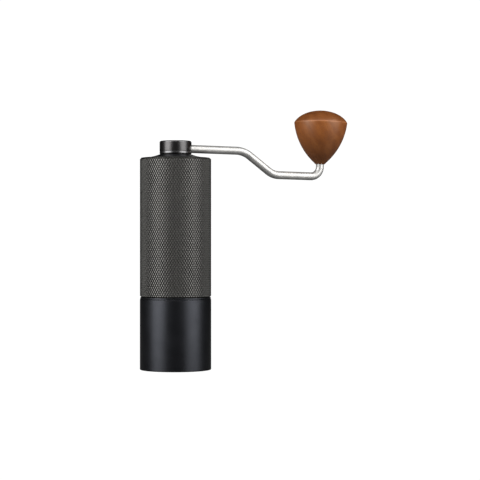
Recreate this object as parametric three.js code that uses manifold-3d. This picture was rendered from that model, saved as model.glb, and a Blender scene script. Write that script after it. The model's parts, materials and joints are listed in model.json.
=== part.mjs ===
// A hand crank coffee grinder: a slim knurled barrel that screws onto a grounds cup, with a conical burr
// set on a central shaft, and a bent steel crank with a wooden knob that drives the shaft through the lid.
// Units are millimetres, +Z is up, the origin is the centre of the cup's base, and the crank points along +X.
import * as THREE from "three";
import { mergeVertices } from "three/addons/utils/BufferGeometryUtils.js";
import Module from "manifold-3d";

const wasm = await Module();
wasm.setup();

// ---- Driving dimensions ------------------------------------------------------------------------------

const FINE = 28; // facets round the barrel-sized pieces
const MEDIUM = 20; // facets round the shaft-sized pieces
const COARSE = 12; // facets round pins, washers and races

const cup = { r: 26, bore: 24.2, base: 3, rimZ: 51.3, edge: 0.7, seatR: 24.85, seatZ: 49.6 };
const neck = { r: 23.9, rootR: 23.45, bore: 22.4, bottomZ: 42.5, pitch: 2, threads: 3 };
const flange = { r: 25.8, z0: 51.5, z1: 52.7 };
const barrel = { r: 25.95, bore: 24.25, z0: 52.9, rimZ: 154.3, chamfer: 0.7, foot: 0.3 };
const upperBore = { r: 24.65, z0: 122, seatR: 25.05, seatZ: 153 };
const carrier = { r: 24.05, lipR: 21.6, lipZ: 78.2, topZ: 96, hubZ0: 86, hubZ1: 94 };
const spider = { hubR: 10.4, lipR: 6.8, pocketR: 8.2, spokeWidth: 3.2, spokes: 3 };
const bearing = { bore: 4.15, r: 8, width: 5, innerR: 5.2, outerR: 6.8, ballR: 1.05, pitchR: 6, balls: 7 };
const upperBearingZ = 125.1; // mid-height of each bearing
const lowerBearingZ = 89.1;
const bracket = { r: 24.45, ringBore: 22.2, z0: 120.2, ringZ0: 122.3, z1: 128 };
const snapRing = { r: 24.8, bore: 22.7, z0: 128.3, thick: 1.1, gapDegrees: 40 };
const shaft = { r: 4, threadR: 3, driveAcross: 7, topAcross: 6, z0: 41, z1: 157 };
const burrDriveZ = { from: 55.2, to: 78.8 };
const topDriveZ = 147.5;
const slimZ = 131;
const burr = { z0: 55, edgeZ: 58, fineZ: 64.5, z1: 76, r: 19.25, footR: 18.2, topR: 8.5 };
const burrTeeth = { fine: 24, coarse: 6, outerCoarse: 12 };
const ringBurr = { r: 22.2, z0: 58, z1: 78, mouthR: 19.9, topR: 16.5 };
const fineCone = 0.268; // the fine grinding zone's taper, radius per height
const burrFacets = 72;
const lockRing = { r: 22.1, bore: 20.6, z0: 54.6, z1: 57.7, notches: 4 };
const clickPlate = { r: 9.5, bore: 4.4, z0: 53.5, z1: 54.8, notches: 12 };
const dial = { r: 13.6, lobe: 0.6, lobes: 12, z0: 46, z1: 52.9, insertR: 5.2, detentR: 7.4 };
const spring = { r: 5.6, wire: 0.5, z0: 77.3, z1: 85.3, turns: 4.5 };
const lid = { r: 24.85, flangeZ: 153.2, plugR: 24.4, plugZ: 147.2, bossR: 11.9, bossZ: 156.75, bore: 8.2 };
const hub = { r: 11.65, z0: 157.05, z1: 166.7, neckR: 6.7, neckZ: 148, socketAcross: 6.5, socketZ: 157.3 };
const rod = { r: 3, droopDegrees: 1, startX: -2, axisZ: 161.3 };
const rodKnees = [
  { x: 52.9, z: 160.39, bend: 18 },
  { x: 76.1, z: 142.95, bend: 14 },
  { x: 113.9, z: 142.25, bend: 7.3 },
];
// The rod's upright end leans outwards. Lengths along it are measured from the last knee.
const upright = { leanDegrees: 1.2, length: 31.75, foot: 9.25, groove0: 27.05, groove1: 28.15 };
const knob = { creaseR: 19.98, creaseZ: 31.3, topZ: 40.45, domeR: 21.2, sideR: 47.3, footR: 3.55 };
const knobBore = { r: 3.85, depth: 24.3, mouthR: 3.3, mouthDepth: 0.3 };

// ---- Materials ---------------------------------------------------------------------------------------

const finish = (color, roughness, metalness) => new THREE.MeshStandardMaterial({ color, roughness, metalness });
const satinBlack = finish(0x1d1e20, 0.35, 0.7); // anodised aluminium, turned
const knurledBlack = finish(0x3a3a39, 0.5, 0.7); // anodised aluminium, knurled
const steel = finish(0xc9c8c5, 0.2, 1);
const burrSteel = finish(0x8f9092, 0.35, 1);
const springSteel = finish(0x9a9a98, 0.3, 1);
const brass = finish(0xb9975a, 0.3, 1);
const blackPlastic = finish(0x1a1a1b, 0.5, 0);
const paleNylon = finish(0xd8d4c8, 0.5, 0);
const rubber = finish(0x121212, 0.8, 0);
const walnut = finish(0x7a4a2a, 0.45, 0);

// ---- Shape helpers -----------------------------------------------------------------------------------

const radians = THREE.MathUtils.degToRad;

// A solid of revolution about Z from [radius, height] points that close on themselves or end on the axis.
function revolve(profile, segments) {
  let area = 0;
  profile.forEach(([r, z], i) => {
    const [nextR, nextZ] = profile[(i + 1) % profile.length];
    area += r * nextZ - nextR * z;
  });
  const points = profile.map(([r, z]) => new THREE.Vector2(r, z));
  if (points[0].x > 0) points.push(points[0].clone());
  if (area < 0) points.reverse();
  return new THREE.LatheGeometry(points, segments).rotateX(Math.PI / 2);
}

const ring = (bore, r, z0, z1, segments) => revolve([[bore, z0], [r, z0], [r, z1], [bore, z1]], segments);
const disc = (r, z0, z1, segments) => revolve([[0, z0], [r, z0], [r, z1], [0, z1]], segments);

function hexPrism(across, z0, z1) {
  const corner = across / 2 / Math.cos(Math.PI / 6);
  return disc(corner, z0, z1, 6);
}

function box(sizeX, sizeY, sizeZ, x, y, z) {
  return new THREE.BoxGeometry(sizeX, sizeY, sizeZ).translate(x, y, z);
}

// Points along a circular arc in a profile, from one angle to another in degrees, both ends included.
function arc(centreR, centreZ, radius, fromDegrees, toDegrees, steps) {
  return Array.from({ length: steps + 1 }, (_, i) => {
    const angle = radians(fromDegrees + ((toDegrees - fromDegrees) * i) / steps);
    return [centreR + radius * Math.cos(angle), centreZ + radius * Math.sin(angle)];
  });
}

// A ring with an opening, as a snap ring or circlip has.
function openRing(bore, r, z0, thick, gapDegrees) {
  const half = radians(gapDegrees / 2);
  const shape = new THREE.Shape();
  shape.absarc(0, 0, r, half, 2 * Math.PI - half, false);
  shape.absarc(0, 0, bore, 2 * Math.PI - half, half, true);
  const options = { depth: thick, bevelEnabled: false, curveSegments: 8 };
  return new THREE.ExtrudeGeometry(shape, options).translate(0, 0, z0);
}

class Helix extends THREE.Curve {
  constructor(radius, z0, z1, turns) {
    super();
    Object.assign(this, { radius, z0, z1, turns });
  }

  getPoint(t) {
    const angle = 2 * Math.PI * this.turns * t;
    const z = THREE.MathUtils.lerp(this.z0, this.z1, t);
    return new THREE.Vector3(this.radius * Math.cos(angle), this.radius * Math.sin(angle), z);
  }
}

// A coil spring between two heights, wire ends included.
function coilSpring(radius, wire, z0, z1, turns, sides, stepsPerTurn) {
  const path = new Helix(radius, z0 + wire, z1 - wire, turns);
  const section = new THREE.Shape().absarc(0, 0, wire, 0, 2 * Math.PI, false);
  const steps = Math.round(turns * stepsPerTurn);
  const options = { steps, extrudePath: path, bevelEnabled: false, curveSegments: sides };
  return new THREE.ExtrudeGeometry(section, options);
}

// Rod centreline through knees in the XZ plane: straight runs joined by round bends. A straight run takes
// one step and a bend takes several, so the parameter runs over steps and not over length.
class BentRod extends THREE.Curve {
  constructor(start, knees, end, bendSteps) {
    super();
    const corners = [start, ...knees, end].map(({ x, z }) => new THREE.Vector3(x, 0, z));
    this.stations = [{ point: corners[0], tangent: corners[1].clone().sub(corners[0]).normalize() }];
    knees.forEach(({ bend }, i) => {
      const before = corners[i + 1].clone().sub(corners[i]).normalize();
      const after = corners[i + 2].clone().sub(corners[i + 1]).normalize();
      const turn = before.angleTo(after);
      const axis = before.clone().cross(after).normalize();
      const setback = bend * Math.tan(turn / 2);
      const from = corners[i + 1].clone().addScaledVector(before, -setback);
      const centre = from.clone().addScaledVector(axis.clone().cross(before), bend);
      for (let k = 0; k <= bendSteps; k++) {
        const swing = (turn * k) / bendSteps;
        const arm = from.clone().sub(centre).applyAxisAngle(axis, swing);
        const tangent = before.clone().applyAxisAngle(axis, swing);
        this.stations.push({ point: centre.clone().add(arm), tangent });
      }
    });
    const last = corners.at(-1);
    this.stations.push({ point: last, tangent: last.clone().sub(corners.at(-2)).normalize() });
  }

  get steps() {
    return this.stations.length - 1;
  }

  getPointAt(u) {
    return this.stations[Math.round(u * this.steps)].point.clone();
  }

  getTangentAt(u) {
    return this.stations[Math.round(u * this.steps)].tangent.clone();
  }
}

// ---- Boolean cuts and joins --------------------------------------------------------------------------

function solidOf(geometry) {
  const bare = geometry.clone();
  bare.deleteAttribute("normal");
  bare.deleteAttribute("uv");
  const merged = mergeVertices(bare, 1e-4);
  const corners = merged.index.array;
  const kept = [];
  for (let i = 0; i < corners.length; i += 3) {
    const [a, b, c] = corners.subarray(i, i + 3);
    if (a !== b && b !== c && c !== a) kept.push(a, b, c);
  }
  const vertProperties = merged.attributes.position.array;
  return new wasm.Manifold(new wasm.Mesh({ numProp: 3, vertProperties, triVerts: Uint32Array.from(kept) }));
}

function geometryOf(solid) {
  const mesh = solid.getMesh();
  const geometry = new THREE.BufferGeometry();
  geometry.setAttribute("position", new THREE.BufferAttribute(mesh.vertProperties, 3));
  geometry.setIndex(new THREE.BufferAttribute(mesh.triVerts, 1));
  geometry.computeVertexNormals();
  return geometry;
}

const cut = (geometry, ...tools) =>
  geometryOf(tools.reduce((left, tool) => left.subtract(solidOf(tool)), solidOf(geometry)));
const join = (geometry, ...others) =>
  geometryOf(others.reduce((sum, other) => sum.add(solidOf(other)), solidOf(geometry)));

function piece(name, geometry, material) {
  const mesh = new THREE.Mesh(geometry, material);
  mesh.name = name;
  return mesh;
}

function group(...members) {
  return new THREE.Group().add(...members);
}

// ---- Cup ---------------------------------------------------------------------------------------------

function makeCup() {
  const { r, bore, base, rimZ, edge, seatR, seatZ } = cup;
  const groove = { r: 20, width: 1, depth: 0.4 }; // a turned ring in the underside
  const corner = 1.2;
  return piece(
    "catch_cup",
    revolve(
      [
        [0, 0],
        [groove.r - groove.width, 0],
        [groove.r - groove.width / 2, groove.depth],
        [groove.r, 0],
        ...arc(r - edge, edge, edge, -90, 0, 3),
        [r, rimZ - 0.2],
        [r - 0.2, rimZ],
        [seatR, rimZ],
        [seatR, seatZ],
        [bore, seatZ],
        [bore, base + corner],
        [bore - corner, base],
        [0, base],
      ],
      FINE,
    ),
    satinBlack,
  );
}

function makeCupSeal() {
  const gap = 0.2;
  return piece(
    "cup_seal",
    ring(cup.bore - 0.1, cup.seatR - gap, cup.seatZ + gap, cup.rimZ - gap, FINE),
    rubber,
  );
}

// ---- Barrel and the pieces fixed inside it -----------------------------------------------------------

function makeBarrel() {
  const { r, bore, z0, rimZ, chamfer, foot } = barrel;
  const grooveR = snapRing.r + 0.35;
  const grooveZ = snapRing.z0 - 0.2;
  const grooveTop = snapRing.z0 + snapRing.thick + 0.2;
  return piece(
    "barrel",
    revolve(
      [
        [bore, z0],
        [r - foot, z0],
        [r, z0 + foot],
        [r, rimZ - chamfer],
        [r - chamfer, rimZ],
        [upperBore.seatR, rimZ],
        [upperBore.seatR, upperBore.seatZ],
        [upperBore.r, upperBore.seatZ],
        [upperBore.r, grooveTop],
        [grooveR, grooveTop],
        [grooveR, grooveZ],
        [upperBore.r, grooveZ],
        [upperBore.r, upperBore.z0],
        [bore, upperBore.z0],
      ],
      FINE,
    ),
    knurledBlack,
  );
}

// Spokes from a bearing hub out to a surrounding ring, at 60, 180 and 300 degrees.
function spokes(fromR, toR, z0, z1) {
  return Array.from({ length: spider.spokes }, (_, i) => {
    const spoke = box(toR - fromR, spider.spokeWidth, z1 - z0, (toR + fromR) / 2, 0, (z0 + z1) / 2);
    return spoke.rotateZ(radians(60 + (360 / spider.spokes) * i));
  });
}

// A bearing hub with a pocket open at one end and a lip at the other.
function bearingHub(z0, z1, lipZ0, lipZ1) {
  const { hubR, pocketR, lipR } = spider;
  const profile =
    lipZ0 === z0
      ? [[lipR, z0], [hubR, z0], [hubR, z1], [pocketR, z1], [pocketR, lipZ1], [lipR, lipZ1]]
      : [[pocketR, z0], [hubR, z0], [hubR, z1], [lipR, z1], [lipR, lipZ0], [pocketR, lipZ0]];
  return revolve(profile, MEDIUM);
}

// The carrier holds the ring burr and the lower bearing, and its threaded neck takes the cup.
function makeCarrier() {
  const threads = Array.from({ length: neck.threads }, (_, i) => {
    const z = neck.bottomZ + 1 + neck.pitch * i;
    return [[neck.rootR, z], [neck.r, z + neck.pitch / 4], [neck.rootR, z + neck.pitch / 2]];
  }).flat();
  const shell = revolve(
    [
      [neck.bore, neck.bottomZ],
      [neck.rootR, neck.bottomZ],
      ...threads,
      [neck.rootR, flange.z0],
      [flange.r, flange.z0],
      [flange.r, flange.z1],
      [carrier.r, flange.z1],
      [carrier.r, carrier.topZ],
      [carrier.r - 0.5, carrier.topZ],
      [carrier.lipR, carrier.topZ - 2.5],
      [carrier.lipR, carrier.lipZ],
      [neck.bore, carrier.lipZ],
    ],
    FINE,
  );
  const lipZ = lowerBearingZ + bearing.width / 2 + 0.2;
  const hubRing = bearingHub(carrier.hubZ0, carrier.hubZ1, lipZ, carrier.hubZ1);
  const arms = spokes(spider.hubR - 0.8, carrier.lipR + 0.8, carrier.hubZ0 + 1, carrier.hubZ1 - 0.4);
  return piece("burr_carrier", join(shell, hubRing, ...arms), satinBlack);
}

function makeUpperBracket() {
  const outer = ring(bracket.ringBore, bracket.r, bracket.ringZ0, bracket.z1, FINE);
  const lipZ = upperBearingZ - bearing.width / 2 - 0.2;
  const hubRing = bearingHub(bracket.z0, bracket.z1, bracket.z0, lipZ);
  const arms = spokes(spider.hubR - 0.8, bracket.ringBore + 0.8, bracket.z0 + 0.8, bracket.z1 - 2);
  return piece("upper_bracket", join(outer, hubRing, ...arms), blackPlastic);
}

function makeLockRing() {
  const { r, bore, z0, z1, notches } = lockRing;
  const slots = Array.from({ length: notches }, (_, i) =>
    box(6, 2.4, 2.4, (r + bore) / 2, 0, z0).rotateZ((2 * Math.PI * i) / notches),
  );
  return piece("burr_lock_ring", cut(ring(bore, r, z0, z1, MEDIUM), ...slots), brass);
}

function makeSnapRing() {
  const { r, bore, z0, thick, gapDegrees } = snapRing;
  return piece("bracket_snap_ring", openRing(bore, r, z0, thick, gapDegrees), springSteel);
}

// ---- Ball bearings -----------------------------------------------------------------------------------

// Each bearing is made about its own centre: two grooved races, and the balls in their cage.
function makeBearing(name, z, shieldZ) {
  const half = bearing.width / 2;
  const groove = { deep: 0.45, flat: 0.4, mouth: 0.95 };
  const innerRace = revolve(
    [
      [bearing.bore, -half],
      [bearing.innerR, -half],
      [bearing.innerR, -groove.mouth],
      [bearing.innerR - groove.deep, -groove.flat],
      [bearing.innerR - groove.deep, groove.flat],
      [bearing.innerR, groove.mouth],
      [bearing.innerR, half],
      [bearing.bore, half],
    ],
    COARSE,
  );
  const outerRace = revolve(
    [
      [bearing.outerR, -half],
      [bearing.r, -half],
      [bearing.r, half],
      [bearing.outerR, half],
      [bearing.outerR, groove.mouth],
      [bearing.outerR + groove.deep, groove.flat],
      [bearing.outerR + groove.deep, -groove.flat],
      [bearing.outerR, -groove.mouth],
    ],
    MEDIUM,
  );
  const balls = Array.from({ length: bearing.balls }, (_, i) => {
    const ball = new THREE.SphereGeometry(bearing.ballR, 6, 3).translate(bearing.pitchR, 0, 0);
    return ball.rotateZ((2 * Math.PI * i) / bearing.balls);
  });
  const cage = ring(bearing.pitchR - 0.3, bearing.pitchR + 0.3, -0.5, 0.5, bearing.balls * 2);
  const shield = ring(bearing.innerR + 0.35, bearing.outerR - 0.2, shieldZ - 0.15, shieldZ + 0.15, COARSE);
  const parts = {
    inner: piece(`${name}_bearing_inner_race`, innerRace, steel),
    outer: piece(`${name}_bearing_outer_race`, outerRace, steel),
    balls: piece(`${name}_bearing_balls`, join(cage, ...balls), steel),
    shield: piece(`${name}_bearing_shield`, shield, springSteel),
  };
  Object.values(parts).forEach((part) => (part.position.z = z));
  return Object.values(parts);
}

// ---- Burr set ----------------------------------------------------------------------------------------

// One saw tooth per turn of the argument: 0 at the crest, rising to 1 at the foot of the next tooth.
const sawTooth = (turns) => turns - Math.floor(turns);

// Moves each wall point of a revolved shape in or out along its radius, by a depth for its angle and height.
function carve(geometry, depthAt) {
  const position = geometry.attributes.position;
  for (let i = 0; i < position.count; i++) {
    const [x, y, z] = [position.getX(i), position.getY(i), position.getZ(i)];
    const r = Math.hypot(x, y);
    if (r < 1) continue;
    const turn = Math.atan2(y, x) / (2 * Math.PI) + 1e-6;
    const scale = 1 + depthAt(turn, z) / r;
    position.setXY(i, x * scale, y * scale);
  }
  return geometry;
}

const ramp = (z, from, to) => THREE.MathUtils.clamp((z - from) / (to - from), 0, 1);

function makeInnerBurr() {
  const { z0, edgeZ, fineZ, z1, r, footR, topR } = burr;
  const fineR = r - (fineZ - edgeZ) * fineCone;
  const flank = [0.25, 0.5, 0.75].map((t) => [
    THREE.MathUtils.lerp(fineR, topR, t),
    THREE.MathUtils.lerp(fineZ, z1, t),
  ]);
  const outline = [[0, z0], [footR, z0], [r, edgeZ], [fineR, fineZ], ...flank, [topR, z1], [0, z1]];
  const cone = revolve(outline, burrFacets);
  const toothed = carve(cone, (turn, z) => {
    const fine = 0.55 * (1 - ramp(z, fineZ, fineZ + 3)) * sawTooth(turn * burrTeeth.fine + z * 0.12);
    const coarse = 2.6 * ramp(z, edgeZ + 3, z1 - 4) * sawTooth(turn * burrTeeth.coarse + (z - z0) * 0.03);
    return -(fine + coarse);
  });
  const bore = hexPrism(shaft.driveAcross + 0.5, z0 - 1, z1 + 1);
  return piece("inner_burr", cut(toothed, bore), burrSteel);
}

function makeRingBurr() {
  const { r, z0, z1, mouthR, topR } = ringBurr;
  const fineR = mouthR - (burr.fineZ - z0) * fineCone;
  const midZ = (burr.fineZ + z1) / 2;
  const over = 0.5;
  const core = revolve(
    [
      [0, z0 - over],
      [mouthR + over * fineCone, z0 - over],
      [fineR, burr.fineZ],
      [(fineR + topR) / 2, midZ],
      [topR, z1 + over],
      [0, z1 + over],
    ],
    burrFacets,
  );
  const toothed = carve(core, (turn, z) => {
    const fine = 0.5 * (1 - ramp(z, burr.fineZ, midZ)) * sawTooth(turn * burrTeeth.fine + z * 0.12);
    const coarse = 1.8 * ramp(z, burr.fineZ - 2, midZ) * sawTooth(turn * burrTeeth.outerCoarse - z * 0.02);
    return fine + coarse;
  });
  return piece("ring_burr", cut(disc(r, z0, z1, FINE), toothed), burrSteel);
}

// ---- Shaft and what turns with it --------------------------------------------------------------------

function makeShaft() {
  const clip = { z0: 127.75, z1: 128.95, r: 3.55 };
  const core = revolve(
    [
      [0, shaft.z0],
      [shaft.threadR - 0.5, shaft.z0],
      [shaft.threadR, shaft.z0 + 0.5],
      [shaft.threadR, burrDriveZ.to - 0.5],
      [shaft.r, burrDriveZ.to - 0.5],
      [shaft.r, clip.z0],
      [clip.r, clip.z0],
      [clip.r, clip.z1],
      [shaft.r, clip.z1],
      [shaft.r, slimZ],
      [shaft.threadR + 0.5, slimZ + 0.5],
      [shaft.threadR + 0.5, topDriveZ],
      [shaft.threadR - 0.5, topDriveZ],
      [shaft.threadR - 0.5, shaft.z1],
      [0, shaft.z1],
    ],
    COARSE,
  );
  const burrDrive = hexPrism(shaft.driveAcross, burrDriveZ.from, burrDriveZ.to);
  const crankDrive = hexPrism(shaft.topAcross, topDriveZ - 0.2, shaft.z1 - 0.3);
  return piece("drive_shaft", join(core, burrDrive, crankDrive), steel);
}

function makeShaftHardware() {
  const washer = (z0, z1) => ring(4.4, 7, z0, z1, COARSE);
  const coil = coilSpring(spring.r, spring.wire, spring.z0, spring.z1, spring.turns, 3, 9);
  return [
    piece("shaft_circlip", openRing(3.7, 6.3, 127.9, 0.9, 50), springSteel),
    piece("spring_upper_washer", washer(spring.z1 + 0.2, spring.z1 + 0.9), springSteel),
    piece("spring_lower_washer", washer(burr.z1 + 0.2, spring.z0 - 0.2), springSteel),
    piece("burr_spring", coil, springSteel),
  ];
}

// ---- Grind adjustment --------------------------------------------------------------------------------

function makeClickPlate() {
  const { r, bore, z0, z1, notches } = clickPlate;
  const slots = Array.from({ length: notches }, (_, i) =>
    box(5, 1, 0.9, dial.detentR, 0, z0).rotateZ((2 * Math.PI * i) / notches),
  );
  return piece("click_plate", cut(ring(bore, r, z0, z1, MEDIUM), ...slots), steel);
}

function makeDial() {
  const { r, lobe, lobes, z0, z1, insertR, detentR } = dial;
  const outline = new THREE.Shape();
  const points = lobes * 5;
  for (let i = 0; i < points; i++) {
    const angle = (2 * Math.PI * i) / points;
    const reach = r + lobe * Math.cos(lobes * angle);
    outline[i ? "lineTo" : "moveTo"](reach * Math.cos(angle), reach * Math.sin(angle));
  }
  const options = { depth: z1 - z0, bevelEnabled: false };
  const body = new THREE.ExtrudeGeometry(outline, options).translate(0, 0, z0);
  const detents = [-1, 1].map((side) => disc(1.4, 48, z1 + 1, COARSE).translate(side * detentR, 0, 0));
  const shell = cut(body, disc(insertR, z0 - 1, z1 + 1, MEDIUM), ...detents);
  const insert = ring(shaft.threadR + 0.25, insertR - 0.2, z0 + 0.2, z1, MEDIUM);
  const parts = [piece("adjustment_dial", shell, satinBlack), piece("dial_thread_insert", insert, brass)];
  [-1, 1].forEach((side, i) => {
    const ball = piece(`detent_ball_${i + 1}`, new THREE.SphereGeometry(1.1, 8, 6), steel);
    ball.position.set(side * detentR, 0, z1 - 0.75);
    const coil = piece(`detent_spring_${i + 1}`, coilSpring(0.9, 0.2, 0, 2.7, 3, 2, 6), springSteel);
    coil.position.set(side * detentR, 0, 48.2);
    parts.push(ball, coil);
  });
  return parts;
}

// ---- Lid ---------------------------------------------------------------------------------------------

function makeLid() {
  const { r, flangeZ, plugR, plugZ, bossR, bossZ, bore } = lid;
  const seal = { z0: 148.9, z1: 150.7, rootR: 23.4 };
  const edgeZ = barrel.rimZ + 0.05;
  const flare = new THREE.QuadraticBezierCurve(
    new THREE.Vector2(bossR, bossZ),
    new THREE.Vector2(15.5, edgeZ + 0.1),
    new THREE.Vector2(r, edgeZ),
  );
  const shell = revolve(
    [
      [bore, bossZ],
      ...flare.getPoints(4).map((p) => [p.x, p.y]),
      [r, flangeZ],
      [plugR, flangeZ],
      [plugR, seal.z1],
      [seal.rootR, seal.z1],
      [seal.rootR, seal.z0],
      [plugR, seal.z0],
      [plugR, plugZ],
      [22.6, plugZ],
      [22.6, 152],
      [11.4, 153.4],
      [11.4, 150.5],
      [bore, 150.5],
    ],
    FINE,
  );
  const ringR = { centre: 23.98, section: 0.5 };
  const sealZ = (seal.z0 + seal.z1) / 2;
  const sealRing = revolve(arc(ringR.centre, sealZ, ringR.section, 0, 300, 5), FINE);
  return [
    piece("lid", shell, satinBlack),
    piece("lid_seal", sealRing, rubber),
    piece("lid_bush", ring(hub.neckR + 0.2, bore - 0.15, 150.6, bossZ - 0.2, MEDIUM), paleNylon),
  ];
}

// ---- Crank -------------------------------------------------------------------------------------------

const pin = { x: 6.5, r: 1, z0: 157.9, z1: 165.2 };

function makeHub() {
  const { r, z0, z1, neckR, neckZ, socketAcross, socketZ } = hub;
  const topEdge = 1;
  const bottomEdge = 0.4;
  const groove = { z0: 148.75, z1: 149.55, r: 6.1 };
  const body = revolve(
    [
      [0, neckZ],
      [neckR - 0.3, neckZ],
      [neckR, neckZ + 0.3],
      [neckR, groove.z0],
      [groove.r, groove.z0],
      [groove.r, groove.z1],
      [neckR, groove.z1],
      [neckR, z0],
      ...arc(r - bottomEdge, z0 + bottomEdge, bottomEdge, -90, 0, 2),
      ...arc(r - topEdge, z1 - topEdge, topEdge, 0, 90, 2),
      [0, z1],
    ],
    MEDIUM,
  );
  const gap = 0.2;
  const reach = 16;
  const rodHole = new THREE.CylinderGeometry(rod.r + gap, rod.r + gap, reach, MEDIUM)
    .rotateZ(Math.PI / 2)
    .translate(rod.startX - gap + reach / 2, 0, 0)
    .rotateY(radians(rod.droopDegrees))
    .translate(0, 0, rod.axisZ);
  const pinHole = disc(pin.r + gap, z0 - 1, pin.z1 + gap, COARSE).translate(pin.x, 0, 0);
  const socket = hexPrism(socketAcross, neckZ - 1, socketZ);
  return piece("crank_hub", cut(body, rodHole, pinHole, socket), satinBlack);
}

function makeArm() {
  const dropAt = (x) => rod.axisZ - x * Math.tan(radians(rod.droopDegrees));
  const start = { x: rod.startX, z: dropAt(rod.startX) };
  const knee = rodKnees.at(-1);
  const lean = radians(upright.leanDegrees);
  const end = { x: knee.x + upright.length * Math.sin(lean), z: knee.z + upright.length * Math.cos(lean) };
  const path = new BentRod(start, rodKnees, end, 4);
  const section = new THREE.Shape().absarc(0, 0, rod.r, 0, 2 * Math.PI, false);
  const options = { steps: path.steps, extrudePath: path, bevelEnabled: false, curveSegments: 6 };
  const bar = new THREE.ExtrudeGeometry(section, options);
  const pinHole = disc(pin.r + 0.25, 150, 170, COARSE).translate(pin.x, 0, 0);
  const groove = ring(2.45, 4, upright.groove0, upright.groove1, COARSE)
    .rotateY(lean)
    .translate(knee.x, 0, knee.z);
  return piece("crank_arm", cut(bar, pinHole, groove), steel);
}

function makeCrankHardware() {
  return [
    piece("arm_cross_pin", disc(pin.r, pin.z0, pin.z1, COARSE).translate(pin.x, 0, 0), springSteel),
    piece("hub_thrust_washer", ring(hub.neckR + 0.2, 9.6, 149.7, 150.25, MEDIUM), paleNylon),
    piece("hub_circlip", openRing(6.25, 8.6, 148.95, 0.45, 50), springSteel),
  ];
}

// ---- Knob --------------------------------------------------------------------------------------------

// The knob is made on its own axis, with its foot at height 0: a convex side below the crease and an
// elliptical dome above it.
function makeKnob() {
  const { creaseR, creaseZ, topZ, domeR, sideR, footR } = knob;
  const steepest = 49; // the side's slope from upright, in degrees, at the foot and at the crease
  const shallowest = 6.1;
  const sideCentre = {
    r: creaseR - sideR * Math.cos(radians(shallowest)),
    z: creaseZ + sideR * Math.sin(radians(shallowest)),
  };
  const domeHeight = (topZ - creaseZ) / (1 - Math.sqrt(1 - (creaseR / domeR) ** 2));
  const dome = [0.45, 0.72, 0.9].map((t) => {
    const r = creaseR * t;
    return [r, topZ - domeHeight * (1 - Math.sqrt(1 - (r / domeR) ** 2))];
  });
  const wood = revolve(
    [
      [0, topZ],
      ...dome,
      [creaseR - 0.3, creaseZ + 0.35],
      ...arc(sideCentre.r, sideCentre.z, sideR, -shallowest - 0.5, -steepest, 5),
      [footR + 0.2, 0.2],
      [footR, 0],
      [knobBore.mouthR, 0],
      [knobBore.mouthR, knobBore.mouthDepth],
      [knobBore.r, knobBore.mouthDepth],
      [knobBore.r, knobBore.depth],
      [0, knobBore.depth],
    ],
    24,
  );
  const bush = ring(rod.r + 0.2, knobBore.r - 0.1, knobBore.mouthDepth + 0.2, 17, COARSE);
  const pad = disc(knobBore.r - 0.15, upright.length - upright.foot + 0.2, knobBore.depth - 0.2, COARSE);
  const parts = [
    piece("knob", wood, walnut),
    piece("knob_bush", bush, brass),
    piece("knob_end_pad", pad, paleNylon),
  ];
  parts.forEach((part) => (part.position.z = upright.foot));
  return parts;
}

// The knob and the ring that holds it, on the rod's leaning upright end.
function makeUpright() {
  const knee = rodKnees.at(-1);
  const ringThick = 0.8;
  const ringZ = (upright.groove0 + upright.groove1 - ringThick) / 2;
  const snap = piece("knob_snap_ring", openRing(2.6, 3.6, ringZ, ringThick, 60), springSteel);
  const end = group(snap, ...makeKnob());
  end.position.set(knee.x, 0, knee.z);
  end.rotation.y = radians(upright.leanDegrees);
  return end;
}

// ---- Assembly ----------------------------------------------------------------------------------------

const cupGroup = group(makeCup(), makeCupSeal());
const barrelGroup = group(
  makeBarrel(),
  makeCarrier(),
  makeUpperBracket(),
  makeSnapRing(),
  makeRingBurr(),
  makeLockRing(),
  ...makeBearing("upper", upperBearingZ, bearing.width / 2 - 0.4),
  ...makeBearing("lower", lowerBearingZ, 0.4 - bearing.width / 2),
);
const shaftGroup = group(makeShaft(), ...makeShaftHardware());
const burrGroup = group(makeInnerBurr(), makeClickPlate(), ...makeDial());
const lidGroup = group(...makeLid());
const crankGroup = group(makeHub(), makeArm(), ...makeCrankHardware(), makeUpright());

const grinder = group(cupGroup, barrelGroup, shaftGroup, burrGroup, lidGroup, crankGroup);
export default grinder;
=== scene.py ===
"""The finished look of the hand crank coffee grinder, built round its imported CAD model."""
import json
import math

import bmesh
import bpy
import numpy as np
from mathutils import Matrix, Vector


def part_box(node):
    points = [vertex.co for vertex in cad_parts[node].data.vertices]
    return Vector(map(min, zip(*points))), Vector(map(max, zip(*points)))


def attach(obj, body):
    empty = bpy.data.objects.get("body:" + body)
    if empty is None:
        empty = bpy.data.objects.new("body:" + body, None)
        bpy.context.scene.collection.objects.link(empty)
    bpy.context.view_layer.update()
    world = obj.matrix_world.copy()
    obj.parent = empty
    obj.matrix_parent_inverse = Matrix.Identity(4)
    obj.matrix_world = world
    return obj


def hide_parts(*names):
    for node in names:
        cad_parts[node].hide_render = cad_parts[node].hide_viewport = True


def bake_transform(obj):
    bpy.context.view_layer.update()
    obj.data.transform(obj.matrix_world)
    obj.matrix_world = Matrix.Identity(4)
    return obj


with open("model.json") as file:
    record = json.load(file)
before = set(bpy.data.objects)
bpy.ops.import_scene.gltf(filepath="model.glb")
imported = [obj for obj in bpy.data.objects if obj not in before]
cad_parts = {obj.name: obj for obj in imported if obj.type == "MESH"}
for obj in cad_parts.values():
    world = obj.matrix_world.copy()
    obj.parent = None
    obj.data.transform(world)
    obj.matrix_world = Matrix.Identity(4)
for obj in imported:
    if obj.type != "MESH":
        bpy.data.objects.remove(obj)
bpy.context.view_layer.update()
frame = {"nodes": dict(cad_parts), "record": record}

MM = 0.001
TURN = 2 * math.pi
FINE = 168  # facets round a barrel-sized piece
MEDIUM = 96  # facets round a hub-sized piece
SMALL = 48  # facets round a rod-sized piece
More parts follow.
